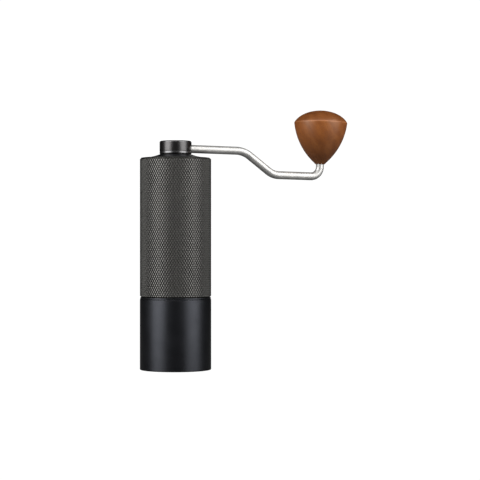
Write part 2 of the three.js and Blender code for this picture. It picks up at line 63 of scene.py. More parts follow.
KNOB_CREASE_Z = 31.3  # height of the knob's widest ring above its foot


# ---- Places taken from the frame ---------------------------------------------------------------------


def span(node):
    """The lowest and highest corner of a CAD node, in millimetres."""
    low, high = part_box(node)
    return low / MM, high / MM


def heights(node):
    low, high = span(node)
    return low.z, high.z


def radius(node):
    """Half of a round node's width, measured across Y, in millimetres."""
    low, high = span(node)
    return (high.y - low.y) / 2


def middle_x(node):
    low, high = span(node)
    return (low.x + high.x) / 2


def middle_z(node):
    return sum(heights(node)) / 2


# ---- Outlines ----------------------------------------------------------------------------------------


def rounded(corners):
    """Rounds an outline's corners. A corner is (r, z), (r, z, radius) or (r, z, radius, mark), and gives
    [(r, z, mark), ...]. mark is 1 on the crest of a rounded edge, where the finish rubs off; a mark given
    with a corner sets its least value, and the hub's foot uses it to paint a bright highlight band."""
    points = []
    count = len(corners)
    for i, corner in enumerate(corners):
        here = Vector(corner[:2])
        size = corner[2] if len(corner) > 2 else 0
        least_wear_and_highlight = corner[3] if len(corner) > 3 else 0.0
        if not size:
            points.append((here.x, here.y, least_wear_and_highlight))
            continue
        before = Vector(corners[i - 1][:2]) - here
        after = Vector(corners[(i + 1) % count][:2]) - here
        half = before.angle(after) / 2
        setback = min(size / math.tan(half), 0.48 * before.length, 0.48 * after.length)
        size = setback * math.tan(half)
        start = here + before.normalized() * setback
        end = here + after.normalized() * setback
        centre = here + (before.normalized() + after.normalized()).normalized() * size / math.sin(half)
        steps = max(2, round((math.pi - 2 * half) / math.radians(18)))
        for k in range(steps + 1):
            blend = (start - centre).lerp(end - centre, k / steps)
            point = centre + blend.normalized() * size
            points.append((point.x, point.y, max(least_wear_and_highlight, math.sin(math.pi * k / steps))))
    return points


def arc(centre_r, centre_z, size, start, end, steps):
    """Points on a circular arc between two angles in degrees, both ends included."""
    angles = np.radians(np.linspace(start, end, steps + 1))
    return [(centre_r + size * math.cos(a), centre_z + size * math.sin(a)) for a in angles]


# ---- Meshes ------------------------------------------------------------------------------------------


def finish_mesh(name, verts, faces, body, slot, stands_for, wear_and_painted_light=None, sharp=32.0):
    """Makes an object from millimetre points, facing outwards, smooth but for its sharp edges."""
    mesh = bpy.data.meshes.new(name)
    mesh.from_pydata([Vector(v) * MM for v in verts], [], faces)
    # this mark holds edge wear, and also the painted highlight on the hub's foot and the painted shade in
    # the knurl's grooves
    if wear_and_painted_light is not None:
        layer = mesh.attributes.new("wear_and_painted_light", "FLOAT", "POINT")
        layer.data.foreach_set("value", np.asarray(wear_and_painted_light, np.float32))
    work = bmesh.new()
    work.from_mesh(mesh)
    bmesh.ops.remove_doubles(work, verts=work.verts, dist=1e-7)
    bmesh.ops.recalc_face_normals(work, faces=work.faces)
    work.to_mesh(mesh)
    work.free()
    mesh.shade_smooth()
    mesh.set_sharp_from_angle(angle=math.radians(sharp))
    piece = bpy.data.objects.new(name, mesh)
    bpy.context.scene.collection.objects.link(piece)
    return settle(piece, body, slot, stands_for)


def settle(piece, body, slot, stands_for):
    """Puts a finished piece on its body, with its material and the CAD nodes that it stands for.
    A piece with no body is left unattached."""
    if body:
        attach(piece, body)
    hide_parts(*stands_for)
    refinish(piece, MATERIALS[slot])
    return piece


def refinish(piece, material):
    piece.data.materials.clear()
    piece.data.materials.append(material)


def lathe_mesh(profile, segments, centre=(0, 0)):
    """Vertices, faces and wear of a revolved outline, which closes on itself or ends on the axis."""
    profile = [(*p, 0.0)[:3] for p in profile]
    open_ended = profile[0][0] < 1e-6 and profile[-1][0] < 1e-6
    verts, wear_and_painted_light, rows = [], [], []
    for r, z, wear_and_painted_light_value in profile:
        ring = []
        for k in range(1 if r < 1e-6 else segments):
            angle = TURN * k / segments
            ring.append(len(verts))
            verts.append((centre[0] + r * math.cos(angle), centre[1] + r * math.sin(angle), z))
            wear_and_painted_light.append(wear_and_painted_light_value)
        rows.append(ring)
    pairs = list(zip(rows, rows[1:])) + ([] if open_ended else [(rows[-1], rows[0])])
    faces = []
    for low, high in pairs:
        for k in range(segments):
            n = (k + 1) % segments
            corners = [low[k % len(low)], low[n % len(low)], high[n % len(high)], high[k % len(high)]]
            kept = list(dict.fromkeys(corners))
            if len(kept) > 2:
                faces.append(kept)
    return verts, faces, wear_and_painted_light


def displaced(verts, depth_at):
    """Moves points in or out along their radius, by a depth that depends on their radius, their angle in
    turns and their height."""
    moved = []
    for x, y, z in verts:
        r = math.hypot(x, y)
        scale = 1 + depth_at(r, math.atan2(y, x) / TURN + 1e-6, z) / r if r > 1 else 1
        moved.append((x * scale, y * scale, z))
    return moved


def islands(*shapes):
    """One list of vertices, faces and wear from several separate shapes."""
    verts, faces, wear_and_painted_light = [], [], []
    for shape_verts, shape_faces, *wear_and_painted_light_value in shapes:
        faces += [[i + len(verts) for i in face] for face in shape_faces]
        verts += list(shape_verts)
        wear_and_painted_light += wear_and_painted_light_value[0] if wear_and_painted_light_value else [0.0] * len(shape_verts)
    return verts, faces, wear_and_painted_light


def stepped(start, end, step):
    """Points along a straight stretch of an outline, both ends included."""
    count = max(1, round((Vector(end) - Vector(start)).length / step))
    return [tuple(Vector(start).lerp(Vector(end), k / count)) for k in range(count + 1)]


def ramp(value, low, high):
    return min(max((value - low) / (high - low), 0.0), 1.0)


def prism(across, low, high, sides=6, edge=0.25):
    """An upright prism with chamfered ends, its size given across its flats."""
    reach = across / 2 / math.cos(math.pi / sides)
    return lathe_mesh([(0, low), (reach - edge, low), (reach, low + edge), (reach, high - edge),
                       (reach - edge, high), (0, high)], sides)


def lathe(name, corners, segments, body, slot, stands_for):
    verts, faces, wear_and_painted_light = lathe_mesh(rounded(corners), segments)
    return finish_mesh(name, verts, faces, body, slot, stands_for, wear_and_painted_light)


def sweep_mesh(path, size, sides):
    """A round bar along a list of points, with slightly rounded ends."""
    path = [Vector(p) for p in path]
    tangents = [(b - a).normalized() for a, b in zip([path[0]] + path[:-1], path[1:] + [path[-1]])]
    tangents[0] = (path[1] - path[0]).normalized()
    tangents[-1] = (path[-1] - path[-2]).normalized()
    side = tangents[0].orthogonal().normalized()
    if abs(tangents[0].y) < 1e-6:
        side = Vector((0, 1, 0))
    chamfer = size * 0.15
    stations = [(path[0], size - chamfer), (path[0] + tangents[0] * chamfer, size)]
    frames = [tangents[0], tangents[0]]
    for point, tangent in zip(path[1:-1], tangents[1:-1]):
        stations.append((point, size))
        frames.append(tangent)
    stations += [(path[-1] - tangents[-1] * chamfer, size), (path[-1], size - chamfer)]
    frames += [tangents[-1], tangents[-1]]
    verts, faces = [], []
    previous = frames[0]
    for (point, reach), tangent in zip(stations, frames):
        side = previous.rotation_difference(tangent) @ side
        side = (side - tangent * side.dot(tangent)).normalized()
        previous = tangent
        up = tangent.cross(side)
        for k in range(sides):
            angle = TURN * k / sides
            verts.append(point + side * (reach * math.cos(angle)) + up * (reach * math.sin(angle)))
    for row in range(len(stations) - 1):
        for k in range(sides):
            a, b = row * sides + k, row * sides + (k + 1) % sides
            faces.append((a, b, b + sides, a + sides))
    faces.append(tuple(range(sides)))
    last = (len(stations) - 1) * sides
    faces.append(tuple(range(last, last + sides)))
    return verts, faces


def carve(piece, operation, *tools):
    """Joins or cuts a piece with other solids, each (verts, faces) in millimetres, and keeps its finish."""
    for verts, faces in tools:
        mesh = bpy.data.meshes.new("tool")
        mesh.from_pydata([Vector(v) * MM for v in verts], [], faces)
        work = bmesh.new()
        work.from_mesh(mesh)
        bmesh.ops.recalc_face_normals(work, faces=work.faces)
        work.to_mesh(mesh)
        work.free()
        mesh.shade_smooth()
        tool = bpy.data.objects.new("tool", mesh)
        bpy.context.scene.collection.objects.link(tool)
        modifier = piece.modifiers.new("cut", "BOOLEAN")
        modifier.operation = operation
        modifier.object = tool
        modifier.solver = "EXACT"
        graph = bpy.context.evaluated_depsgraph_get()
        result = bpy.data.meshes.new_from_object(piece.evaluated_get(graph))
        piece.modifiers.clear()
        name = piece.data.name
        piece.data = result
        result.name = name
        bpy.data.objects.remove(tool)
    piece.data.shade_smooth()
    piece.data.set_sharp_from_angle(angle=math.radians(32))
    return piece


# ---- Materials ---------------------------------------------------------------------------------------


class Nodes:
    """A short way to write a node tree: each call adds a node and links its inputs."""

    def __init__(self, name):
        self.material = bpy.data.materials.new(name)
        self.material.use_nodes = True
        self.tree = self.material.node_tree
        self.shader = self.tree.nodes["Principled BSDF"]

    def add(self, kind, settings=None, **inputs):
        node = self.tree.nodes.new(kind)
        for key, value in (settings or {}).items():
            setattr(node, key, value)
        for key, value in inputs.items():
            self.put(node.inputs[int(key[1:]) if key[1:].isdigit() else key.replace("_", " ")], value)
        return node

    def put(self, socket, value):
        if isinstance(value, bpy.types.NodeSocket):
            self.tree.links.new(value, socket)
        else:
            socket.default_value = value

    def set(self, **inputs):
        for key, value in inputs.items():
            self.put(self.shader.inputs[key.replace("_", " ")], value)

    def place(self, scale):
        """Object coordinates in millimetres, stretched by scale along X, Y and Z."""
        coordinates = self.add("ShaderNodeTexCoord").outputs["Object"]
        mapping = self.add("ShaderNodeMapping", Vector=coordinates, Scale=[s / MM for s in scale])
        return mapping.outputs["Vector"]

    def noise(self, vector, scale=1.0, detail=3.0, roughness=0.5, distortion=0.0):
        return self.add(
            "ShaderNodeTexNoise", Vector=vector, Scale=scale, Detail=detail, Roughness=roughness,
            Distortion=distortion,
        ).outputs["Fac"]

    def ramp(self, fac, *stops):
        node = self.add("ShaderNodeValToRGB", Fac=fac)
        elements = node.color_ramp.elements
        while len(elements) < len(stops):
            elements.new(0.5)
        for element, (position, colour) in zip(elements, stops):
            element.position = position
            element.color = (*colour, 1)
        return node.outputs["Color"]

    def remap(self, value, low, high, to_low, to_high):
        node = self.add("ShaderNodeMapRange", _0=value, _1=low, _2=high, _3=to_low, _4=to_high)
        return node.outputs["Result"]

    def math(self, operation, a, b=0.0):
        return self.add("ShaderNodeMath", {"operation": operation}, _0=a, _1=b).outputs["Value"]

    def mix(self, fac, a, b):
        node = self.add("ShaderNodeMix", {"data_type": "RGBA"}, _0=fac)
        self.put(node.inputs[6], a)
        self.put(node.inputs[7], b)
        return node.outputs[2]

    def bump(self, height, strength, distance):
        node = self.add("ShaderNodeBump", Height=height, Strength=strength, Distance=distance)
        return node.outputs["Normal"]

    def attribute(self, name):
        return self.add("ShaderNodeAttribute", {"attribute_name": name}).outputs["Fac"]


def rgb(*levels):
    """A colour from sRGB levels of 0 to 255."""
    return tuple(
        c / 12.92 if c <= 0.04045 else ((c + 0.055) / 1.055) ** 2.4 for c in (v / 255 for v in levels)
    )


def rgba(*levels):
    return (*rgb(*levels), 1.0)


def anodised(name, colour, bright, roughness, least_rub_and_highlight=0.0):
    """Turned and dyed aluminium: fine lathe lines round the axis, faint mottling and rubbed edges. A raised
    floor on the rubbing also paints a paler highlight band where the mesh is marked, as on the hub's foot.
    """
    n = Nodes(name)
    lines = n.noise(n.place((0.02, 0.02, 14)), 1, 4, 0.7)
    mottle = n.noise(n.place((0.12, 0.12, 0.12)), 1, 5, 0.6)
    tint = n.mix(n.remap(mottle, 0.3, 0.7, 0, 0.35), colour, bright)
    speckle = n.noise(n.place((3, 3, 3)), 1, 2)
    # rub holds edge wear and, on the marked band at the hub's foot, a painted highlight
    rub = n.math("MULTIPLY", n.attribute("wear_and_painted_light"), n.remap(speckle, 0.45, 0.75, least_rub_and_highlight, 0.5))
    n.set(Base_Color=n.mix(rub, tint, rgba(120, 120, 122)), Metallic=1.0)
    smear = n.noise(n.place((0.05, 0.05, 0.09)), 1, 3)
    turned = n.remap(lines, 0.3, 0.7, roughness - 0.03, roughness + 0.05)
    handled = n.remap(smear, 0.3, 0.7, -0.02, 0.03)
    n.set(Roughness=n.math("ADD", turned, handled), Normal=n.bump(lines, 0.06, 0.00005))
    return n.material


def knurled(name):
    """Dyed aluminium with crossed grooves: painted shade darkens the grooves and their slopes, and the
    points are rubbed paler.
    """
    n = Nodes(name)
    height = n.attribute("wear_and_painted_light")
    grain = n.noise(n.place((5, 5, 5)), 1, 3, 0.6)
    mottle = n.noise(n.place((0.1, 0.1, 0.1)), 1, 4, 0.6)
    # the mark runs from 0 in the grooves to 1 on the lands: dark is painted shade in the grooves and on
    # their slopes, pale is rubbed metal on the points
    base = n.mix(height, rgba(27, 27, 26), rgba(84, 83, 81))
    tint = n.mix(n.remap(mottle, 0.3, 0.7, 0, 0.2), base, rgba(54, 54, 53))
    n.set(Base_Color=n.mix(n.remap(grain, 0.4, 0.7, 0, 0.12), tint, rgba(98, 97, 94)), Metallic=1.0)
    n.set(Roughness=n.remap(grain, 0.3, 0.7, 0.33, 0.42), Normal=n.bump(grain, 0.08, 0.0001))
    return n.material


def steel(name, colour, roughness, lines, depth, metallic=1.0):
    """Bare steel with fine brushed lines and faint smudges."""
    n = Nodes(name)
    brush = n.noise(n.place(lines), 1, 4, 0.65)
    smudge = n.noise(n.place((0.15, 0.15, 0.15)), 1, 3)
    tint = n.mix(n.remap(smudge, 0.3, 0.7, 0, 0.3), colour, rgba(196, 194, 190))
    n.set(Base_Color=tint, Metallic=metallic)
    brushed = n.remap(brush, 0.3, 0.7, roughness - 0.03, roughness + 0.05)
    handled = n.remap(smudge, 0.35, 0.7, 0, 0.04)
    n.set(Roughness=n.math("ADD", brushed, handled), Normal=n.bump(brush, depth, 0.00002))
    return n.material


def brass(name):
    n = Nodes(name)
    lines = n.noise(n.place((0.05, 0.05, 10)), 1, 4, 0.6)
    stain = n.noise(n.place((0.4, 0.4, 0.4)), 1, 4)
    tint = n.mix(n.remap(stain, 0.4, 0.7, 0, 0.5), rgba(214, 178, 112), rgba(168, 128, 70))
    n.set(Base_Color=tint, Metallic=1.0)
    n.set(Roughness=n.remap(lines, 0.3, 0.7, 0.22, 0.36), Normal=n.bump(lines, 0.08, 0.00005))
    return n.material


def plastic(name, colour, bright, roughness, grain=2.5):
    """Moulded plastic or rubber: a fine even grain and a little unevenness of tone."""
    n = Nodes(name)
    fine = n.noise(n.place((grain, grain, grain)), 1, 3, 0.6)
    cloud = n.noise(n.place((0.15, 0.15, 0.15)), 1, 3)
    n.set(Base_Color=n.mix(n.remap(cloud, 0.3, 0.7, 0, 0.6), colour, bright))
    rough = n.remap(fine, 0.3, 0.7, roughness - 0.06, roughness + 0.08)
    n.set(Roughness=rough, Normal=n.bump(fine, 0.15, 0.0001))
    return n.material


def walnut(name):
    """Oiled dark wood: growth figure that runs aslant, fine pores along the grain and a satin film.
    Painted shade darkens it towards the narrow foot and on the dome above the crease."""
    n = Nodes(name)
    coordinates = n.add("ShaderNodeTexCoord").outputs["Object"]
    to_mm = (1 / MM, 1 / MM, 1 / MM)
    leaned = n.add("ShaderNodeMapping", Vector=coordinates, Rotation=(0.2, 0.55, 0.3), Scale=to_mm)
    place = leaned.outputs["Vector"]

    def stretched(x, y, z):
        return n.add("ShaderNodeMapping", Vector=place, Scale=(x, y, z)).outputs["Vector"]

    figure = n.noise(stretched(0.16, 0.16, 0.07), 1, 5, 0.6, 0.8)
    fibre = n.noise(stretched(1.6, 1.6, 0.09), 1, 5, 0.7)
    pores = n.noise(stretched(3.4, 3.4, 0.28), 1, 2, 0.5)
    bands = n.add(
        "ShaderNodeTexWave", {"wave_type": "RINGS", "rings_direction": "Z"},
        Vector=stretched(0.035, 0.035, 0.008), Scale=1.0, Distortion=6.0, Detail=3.0, Detail_Scale=1.2,
    ).outputs["Fac"]
    tone = n.math("ADD", n.math("MULTIPLY", figure, 0.85), n.math("MULTIPLY", bands, 0.15))
    colour = n.ramp(tone, (0.25, rgb(92, 47, 16)), (0.5, rgb(113, 62, 23)), (0.75, rgb(128, 75, 33)))
    colour = n.mix(n.remap(fibre, 0.35, 0.7, 0, 0.35), colour, rgba(92, 52, 26))
    pore = n.remap(pores, 0.62, 0.72, 0, 0.75)
    colour = n.mix(pore, colour, rgba(46, 24, 12))
    low, high = heights("knob")
    crease = low + KNOB_CREASE_Z
    # the colour of the painted shade laid over the wood
    painted_shade_colour = rgba(44, 22, 8)
    height = n.add("ShaderNodeSeparateXYZ", Vector=coordinates).outputs["Z"]
    # painted shade, darker towards the narrow foot
    foot_shade = n.remap(height, (low + 6) * MM, (0.35 * low + 0.65 * high) * MM, 0.5, 0)
    colour = n.mix(foot_shade, colour, painted_shade_colour)
    # painted shade on the dome, above the crease
    dome = n.remap(height, (crease - 0.3) * MM, (crease + 1.7) * MM, 0, 0.38)
    colour = n.mix(dome, colour, painted_shade_colour)
    rub = n.math("MULTIPLY", n.attribute("wear_and_painted_light"), 0.3)
    n.set(Base_Color=n.mix(rub, colour, rgba(196, 140, 100)))
    n.set(Roughness=n.math("ADD", n.remap(fibre, 0.3, 0.7, 0.36, 0.5), n.math("MULTIPLY", pore, 0.15)))
    relief = n.math("SUBTRACT", n.math("MULTIPLY", fibre, 0.4), pore)
    n.set(Normal=n.bump(relief, 0.18, 0.0001), Coat_Weight=0.1, Coat_Roughness=0.35)
    n.set(Specular_Tint=rgba(255, 218, 188))
    return n.material


MATERIALS = {
    "anodised_satin": anodised("anodised_satin", rgba(40, 41, 44), rgba(47, 48, 51), 0.39),
    "anodised_knurled": knurled("anodised_knurled"),
    "polished_steel": steel("polished_steel", rgba(222, 221, 219), 0.22, (0.3, 3, 3), 0.02),
    "burr_steel": steel("burr_steel", rgba(150, 151, 154), 0.3, (3, 3, 8), 0.12),
    "spring_steel": steel("spring_steel", rgba(176, 176, 175), 0.25, (6, 6, 6), 0.08),
    "brass": brass("brass"),
    "black_plastic": plastic("black_plastic", rgba(26, 26, 27), rgba(38, 38, 39), 0.45),
    "pale_nylon": plastic("pale_nylon", rgba(214, 209, 196), rgba(228, 224, 213), 0.42),
    "seal_rubber": plastic("seal_rubber", rgba(18, 18, 18), rgba(30, 30, 30), 0.62, 4),
    "walnut": walnut("walnut"),
}
# its raised floor on rubbing paints the marked band at the hub's foot as a bright highlight line
HUB_FINISH = anodised("hub_finish", rgba(62, 61, 61), rgba(72, 71, 71), 0.3, 0.25)
ROD_FINISH = steel("rod_finish", rgba(150, 149, 147), 0.42, (0.3, 3, 3), 0.02, 0.75)


# ---- Barrel ------------------------------------------------------------------------------------------

LOZENGES = 84  # round the barrel
LOZENGE_ROWS = 31
GROOVE = 0.3  # depth of the knurl's grooves
SHOULDER = (0.68, 0.04, 0.25)  # a lozenge's size as a share of its cell, its depth and its mark, which sets how much painted groove shade its slope gets
LAND = (0.56, 0.0, 1.0)
RIM_BAND = 0.9  # plain chamfered band at each end of the knurl


def knurl_points(reach, low, high):
    """The knurled wall: raised lozenges between crossed grooves, and the grid's end rings.
    A lozenge sits at every point of the grid whose steps round and up add to an even number."""
    steps = 2 * LOZENGES
    pitch_z = (high - low) / (2 * LOZENGE_ROWS)
    verts, faces, wear_and_painted_light, corner = [], [], [], {}

    def point(u, v, depth, wear_and_painted_light_value):
        angle = TURN * u / steps
        r = reach - depth
        verts.append((r * math.cos(angle), r * math.sin(angle), low + v * pitch_z))
        wear_and_painted_light.append(wear_and_painted_light_value)
        return len(verts) - 1

    def groove(u, v):
        key = (u % steps, v)
        if key not in corner:
            # groove corners carry mark 0, the darkest painted shade
            corner[key] = point(u, v, GROOVE, 0.0)
        return corner[key]

    top = 2 * LOZENGE_ROWS
    for v in range(top + 1):
        for u in range(v % 2, steps, 2):
            around = [(1, 0), (0, 1), (-1, 0), (0, -1)]
            if v == 0:
                around = [(1, 0), (0, 1), (-1, 0)]
            if v == top:
                around = [(-1, 0), (0, -1), (1, 0)]
            outer = [groove(u + du, v + dv) for du, dv in around]
            rings = [outer]
            for size, depth, wear_and_painted_light_value in (SHOULDER, LAND):
                rings.append([point(u + du * size, v + dv * size, depth, wear_and_painted_light_value) for du, dv in around])
            closed = len(around) == 4
            for a, b in zip(rings, rings[1:]):
                for k in range(len(a) if closed else len(a) - 1):
                    n = (k + 1) % len(a)
                    faces.append((a[k], a[n], b[n], b[k]))
            faces.append(tuple(rings[-1]))
            if not closed:
                faces.append(tuple([ring[0] for ring in rings] + [ring[-1] for ring in reversed(rings)]))
    ends = [[corner[(u, v)] for u in range(1, steps, 2)] for v in (0, top)]
    return verts, faces, wear_and_painted_light, ends


def make_barrel():
    low, high = heights("barrel")
    reach = radius("barrel")
    bore = radius("burr_carrier") - 1.1
    seat_r = radius("lid") + 0.2
    seat_z = span("lid_seal")[1].z + 2.3
    upper_r = radius("upper_bracket") + 0.2
    step_z = heights("upper_bracket")[0] + 1.8
    verts, faces, wear_and_painted_light, (bottom, top) = knurl_points(reach, low + RIM_BAND, high - RIM_BAND)
    inner = rounded(
        [
            (reach - GROOVE - 0.55, high, 0.15),
            (seat_r, high, 0.2),
            (seat_r, seat_z),
            (upper_r, seat_z, 0.1),
            (upper_r, step_z),
            (bore, step_z, 0.15),
            (bore, low, 0.2),
            (reach - GROOVE - 0.45, low, 0.15),
        ]
    )
    rings = [top]
    for r, z, wear_and_painted_light_value in inner:
        ring = []
        for k in range(LOZENGES):
            angle = TURN * (2 * k + 1) / (2 * LOZENGES)
            ring.append(len(verts))
            verts.append((r * math.cos(angle), r * math.sin(angle), z))
            wear_and_painted_light.append(0.5 * wear_and_painted_light_value)
        rings.append(ring)
    rings.append(bottom)
    for a, b in zip(rings, rings[1:]):
        for k in range(LOZENGES):
            n = (k + 1) % LOZENGES
            faces.append((a[k], a[n], b[n], b[k]))
    finish_mesh("knurled_barrel", verts, faces, "barrel", "anodised_knurled", ("barrel",), wear_and_painted_light, 24)


# ---- Cup ---------------------------------------------------------------------------------------------


CUP_BASE = 3  # thickness of the cup's floor
BASE_GROOVE_R = 19.3  # the turned ring in the cup's underside


def make_cup():
    reach = radius("catch_cup")
    rim = heights("catch_cup")[1]
    seal_low, _ = heights("cup_seal")
    seat_r = radius("cup_seal") + 0.2
    bore = seat_r - 0.65
    lathe(
        "grounds_cup",
        [
            (0, 0),
            (BASE_GROOVE_R - 0.5, 0, 0.1),
            (BASE_GROOVE_R, 0.45, 0.15),
            (BASE_GROOVE_R + 0.5, 0, 0.1),
            (reach, 0, 0.7),
            (reach, rim, 0.25),
            (seat_r, rim, 0.2),
            (seat_r, seal_low - 0.2),
            (bore, seal_low - 0.2, 0.15),
            (bore, CUP_BASE, 1.4),
            (0, CUP_BASE),
        ],
        FINE, "cup", "anodised_satin", ("catch_cup",),
    )


# ---- Lid and hub -------------------------------------------------------------------------------------


FLARE_R = 18.2  # how far out the lid's flare stays low: the middle point of its curve


def make_lid():
    low, high = heights("lid")
    reach = radius("lid")
    rim = heights("barrel")[1] + 0.05
    boss = radius("crank_hub") + 0.45
    bore = radius("lid_bush") + 0.15
    plug = reach - 0.45
    hollow = reach - 2.25
    collar = radius("hub_thrust_washer") + 1.8
    seal_z = middle_z("lid_seal")
    bush_foot = heights("lid_bush")[0] - 0.1
    flare = []
    for k in range(1, 13):
        t = k / 12
        r = (1 - t) ** 2 * boss + 2 * t * (1 - t) * FLARE_R + t * t * reach
        z = (1 - t) ** 2 * high + 2 * t * (1 - t) * (rim + 0.1) + t * t * rim
        flare.append((r, z))
    flare[-1] = (reach, rim, 0.15)
    lathe(
        "domed_lid",
        [
            (bore, high, 0.15),
            (boss, high, 0.3),
            *flare,
            (reach, rim - 1, 0.1),
            (plug, rim - 1),
            (plug, seal_z + 0.9, 0.1),
            (plug - 1, seal_z + 0.9),
            (plug - 1, seal_z - 0.9),
            (plug, seal_z - 0.9, 0.1),
            (plug, low, 0.4),
            (hollow, low, 0.3),
            (hollow, low + 4.8, 0.8),
            (collar, low + 6.2, 0.5),
            (collar, bush_foot),
            (bore, bush_foot, 0.15),
        ],
        FINE, "lid", "anodised_satin", ("lid",),
    )


HUB_SEAM_Z = 1.9  # the fine turned line above the hub's foot


def make_hub():
    reach = radius("crank_hub")
    low, high = heights("crank_hub")
    foot = heights("lid")[1] + 0.3
    neck = radius("lid_bush") - 1.35
    socket_r, socket_top = 3.3, low + 9.3
    clip_low, clip_high = heights("hub_circlip")
    hub = lathe(
        "crank_hub_turned",
        [
            (0, socket_top),
            (socket_r, socket_top),
            (socket_r, low, 0.3),
            (neck, low, 0.4),
            (neck, clip_low - 0.2),
            (neck - 0.6, clip_low - 0.2),
            (neck - 0.6, clip_high + 0.15),
            (neck, clip_high + 0.15),
            (neck, foot),
            (reach - 0.25, foot, 0.1),
            (reach - 0.05, foot + 0.3),
            # from here to the seam the outline carries mark 1: a painted highlight line round the hub's
            # foot
            (reach, foot + 0.8, 0, 1),
            (reach - 0.1, foot + HUB_SEAM_Z, 0.1, 1),
            (reach - 0.22, foot + HUB_SEAM_Z + 0.1, 0.05),
            (reach, foot + HUB_SEAM_Z + 0.3, 0.1),
            (reach, high, 1.1),
            (0, high),
        ],
        MEDIUM, "crank", "anodised_satin", ("crank_hub",),
    )
    start = Vector((span("crank_arm")[0].x - 0.2, 0, ROD_START_Z))
    along = Vector((math.cos(ROD_DROOP), 0, -math.sin(ROD_DROOP)))
    hole = sweep_mesh([start, start + along * 8, start + along * 16], ROD_R + 0.15, SMALL)
    carve(hub, "DIFFERENCE", hole)
    refinish(hub, HUB_FINISH)


# ---- Crank arm ---------------------------------------------------------------------------------------

knob_spin = next(j for j in frame["record"]["behaviour"]["joints"] if j["name"] == "knob_spin")
KNOB_AXIS = Vector(knob_spin["axis"])
KNOB_FOOT = Vector(knob_spin["pos_m"]) / MM

ROD_R = 3.0
ROD_DROOP = math.radians(1.0)
ROD_START_Z = 161.3
ROD_KNEES = [((52.9, 160.39), 18), ((76.1, 142.95), 14), ((113.9, 142.25), 7.3)]
ROD_LENGTH = 31.75  # from the last knee to the end inside the knob


def bent_path(start, knees, end, step=math.radians(4)):
    """Straight runs in the XZ plane joined by round bends: knees are ((x, z), bend radius)."""
    corners = [Vector(start)] + [Vector(k[0]) for k in knees] + [Vector(end)]
    path = [corners[0]]
    for i, (_, size) in enumerate(knees, start=1):
        back = (corners[i - 1] - corners[i]).normalized()
        ahead = (corners[i + 1] - corners[i]).normalized()
        half = back.angle(ahead) / 2
        centre = corners[i] + (back + ahead).normalized() * size / math.sin(half)
        setback = size / math.tan(half)
        first, last = corners[i] + back * setback - centre, corners[i] + ahead * setback - centre
        steps = max(3, round((math.pi - 2 * half) / step))
        turn = first.angle_signed(last)
        for k in range(steps + 1):
            swing = -turn * k / steps
            c, s = math.cos(swing), math.sin(swing)
            path.append(centre + Vector((first.x * c - first.y * s, first.x * s + first.y * c)))
    path.append(corners[-1])
    return [Vector((p.x, 0, p.y)) for p in path]


def make_arm():
    low, _ = span("crank_arm")
    start_z = ROD_START_Z - low.x * math.tan(ROD_DROOP)
    last_knee = Vector(ROD_KNEES[-1][0])
    end = last_knee + Vector((KNOB_AXIS.x, KNOB_AXIS.z)) * ROD_LENGTH
    path = bent_path((low.x, start_z), ROD_KNEES, end)
    verts, faces = sweep_mesh(path, ROD_R, SMALL)
    arm = finish_mesh("bent_crank_rod", verts, faces, "crank", "polished_steel", ("crank_arm",))
    refinish(arm, ROD_FINISH)


# ---- Knob --------------------------------------------------------------------------------------------


def make_knob():
    """The knob's outline, from its foot at height 0, turned round the axis that it spins on."""
    crease_r, top_z, dome_r = 19.98, 40.45, 21.2
    side_r, side_lean = 47.3, math.radians(6.14)
    side_top, side_foot = -7.4, -48
    bore_r, bore_top, mouth_r = 3.8, 24.3, 3.2
    centre_r = crease_r - side_r * math.cos(side_lean)
    centre_z = KNOB_CREASE_Z + side_r * math.sin(side_lean)
    side = arc(centre_r, centre_z, side_r, side_top, side_foot, 22)
    dome_z = (top_z - KNOB_CREASE_Z) / (1 - math.sqrt(1 - (crease_r / dome_r) ** 2))
    dome = []
    for k in range(17):
        r = 0.965 * crease_r * math.sin(math.radians(90) * k / 16)
        dome.append((r, top_z - dome_z * (1 - math.sqrt(1 - (r / dome_r) ** 2))))
    corners = [
        *dome,
        (crease_r, KNOB_CREASE_Z, 0.8),
        *side,
        (4.15, 0.72, 0.3),
        (3.75, 0.18, 0.25),
        (mouth_r, 0, 0.1),
        (mouth_r, 0.3),
        (bore_r, 0.3),
        (bore_r, bore_top),
        (0, bore_top),
    ]
    verts, faces, wear_and_painted_light = lathe_mesh(rounded(corners), MEDIUM)
    turn = Vector((0, 0, 1)).rotation_difference(KNOB_AXIS)
    verts = [KNOB_FOOT + turn @ Vector(v) for v in verts]
    finish_mesh("turned_knob", verts, faces, "knob", "walnut", ("knob",), wear_and_painted_light, 40)


# ---- Bearing carriers --------------------------------------------------------------------------------

HUB_RING_R = 10.4  # the ring round each bearing, with its pocket and its lip
POCKET_R = 8.2
LIP_R = 6.8
LIP_THICK = 2.2
SPOKE_WIDTH = 3.2
THREAD_PITCH = 2.0
THREAD_HEIGHT = 0.45


def spoke(reach_from, reach_to, low, high, angle):
    """A bar with rounded edges, pointing out from the axis at an angle."""
    half_width, half_height, middle = SPOKE_WIDTH / 2, (high - low) / 2, (high + low) / 2
    outline = rounded([(-half_width, -half_height, 0.5), (half_width, -half_height, 0.5),
                       (half_width, half_height, 0.5), (-half_width, half_height, 0.5)])
    c, s = math.cos(angle), math.sin(angle)
    verts = [
        (reach * c - across * s, reach * s + across * c, middle + up)
        for reach in (reach_from, reach_to)
        for across, up, _ in outline
    ]
    count = len(outline)
    faces = [(k, (k + 1) % count, (k + 1) % count + count, k + count) for k in range(count)]
    faces += [tuple(range(count)), tuple(range(count, 2 * count))]
    return verts, faces


